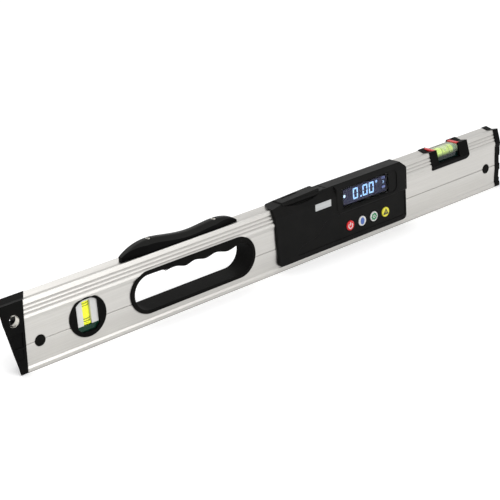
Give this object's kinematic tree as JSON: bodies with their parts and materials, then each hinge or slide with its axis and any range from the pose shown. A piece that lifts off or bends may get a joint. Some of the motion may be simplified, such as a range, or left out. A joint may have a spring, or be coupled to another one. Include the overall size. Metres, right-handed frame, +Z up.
{
  "type": "digital spirit level",
  "caption": "Long aluminium spirit level with a hand slot, a plumb vial, a level vial in the top edge and an electronic angle module with a display and push buttons.",
  "frame": {"origin": "middle of the flat base face, half way along the overall length", "axes": "+X along the level towards the level vial, -Y out of the display face, +Z up from the base"},
  "size_m": [0.6096, 0.0268, 0.0745],
  "materials": {
    "anodised_aluminium": "satin anodised with fine lengthwise drawing lines",
    "black_plastic": "fine moulded texture",
    "black_rubber": "matt",
    "bright_steel": "zinc plated",
    "white_plastic": "smooth",
    "clear_acrylic": "polished",
    "vial_liquid": "clear tinted liquid",
    "plug_teal": "smooth",
    "line_black": "printed",
    "display_window": "polished",
    "lcd_glass": "smooth",
    "board_green": "solder mask",
    "component_black": "moulded",
    "plate_grey": "satin",
    "cell_jacket": "satin sleeve",
    "red_plastic": "smooth",
    "button_blue": "smooth white with a blue print",
    "button_green": "smooth white with a green print",
    "button_yellow": "smooth"
  },
  "bodies": {
    "level": {"body_extrusion": "anodised_aluminium", "left_end_cap": "black_plastic", "right_end_cap": "black_plastic", "hang_hole_sleeve": "bright_steel", "left_plug": "black_rubber", "right_plug": "black_rubber", "plumb_vial_front_bezel": "black_plastic", "plumb_vial_rear_bezel": "black_plastic", "plumb_vial_carrier": "white_plastic", "plumb_vial_foot": "clear_acrylic", "plumb_vial_tube": "clear_acrylic", "plumb_vial_liquid": "vial_liquid", "plumb_vial_rings": "line_black", "grip_front_half": "black_rubber", "grip_rear_half": "black_rubber", "handle_pad": "black_rubber", "handle_pad_screws": "bright_steel", "handle_pad_nuts": "bright_steel", "module_front_cover": "black_plastic", "module_rear_cover": "black_plastic", "module_screws": "bright_steel", "display_lens": "display_window", "lcd_panel": "lcd_glass", "lcd_backlight": "white_plastic", "circuit_board": "board_green", "tilt_sensor": "component_black", "buzzer": "component_black", "keypad_membrane": "black_rubber", "name_plate": "plate_grey", "battery_holder": "black_plastic", "battery_cells": "cell_jacket", "battery_contacts": "bright_steel", "battery_lid_pin": "bright_steel", "battery_lid_seal": "black_rubber", "level_vial_saddle": "black_plastic", "level_end_strips": "red_plastic", "level_vial_block": "clear_acrylic", "level_vial_liquid": "vial_liquid", "level_vial_rings": "line_black", "level_vial_plug": "plug_teal"},
    "battery_lid": {"battery_lid": "black_plastic"},
    "button_power": {"button_power": "red_plastic"},
    "button_hold": {"button_hold": "button_blue"},
    "button_zero": {"button_zero": "button_green"},
    "button_angle": {"button_angle": "button_yellow"}
  },
  "joints": [
    {"name": "battery_lid_hinge", "type": "hinge", "parent": "level", "child": "battery_lid", "pos_m": [0.05255, -0.0026, 0.06415], "axis": [0, 1, 0], "range_deg": [0, 100]},
    {"name": "button_power_press", "type": "slide", "parent": "level", "child": "button_power", "axis": [0, 1, 0], "range_m": [0, 0.0008], "stiffness_N_per_m": 1500, "springref_m": -0.0004},
    {"name": "button_hold_press", "type": "slide", "parent": "level", "child": "button_hold", "axis": [0, 1, 0], "range_m": [0, 0.0008], "stiffness_N_per_m": 1500, "springref_m": -0.0004},
    {"name": "button_zero_press", "type": "slide", "parent": "level", "child": "button_zero", "axis": [0, 1, 0], "range_m": [0, 0.0008], "stiffness_N_per_m": 1500, "springref_m": -0.0004},
    {"name": "button_angle_press", "type": "slide", "parent": "level", "child": "button_angle", "axis": [0, 1, 0], "range_m": [0, 0.0008], "stiffness_N_per_m": 1500, "springref_m": -0.0004}
  ]
}
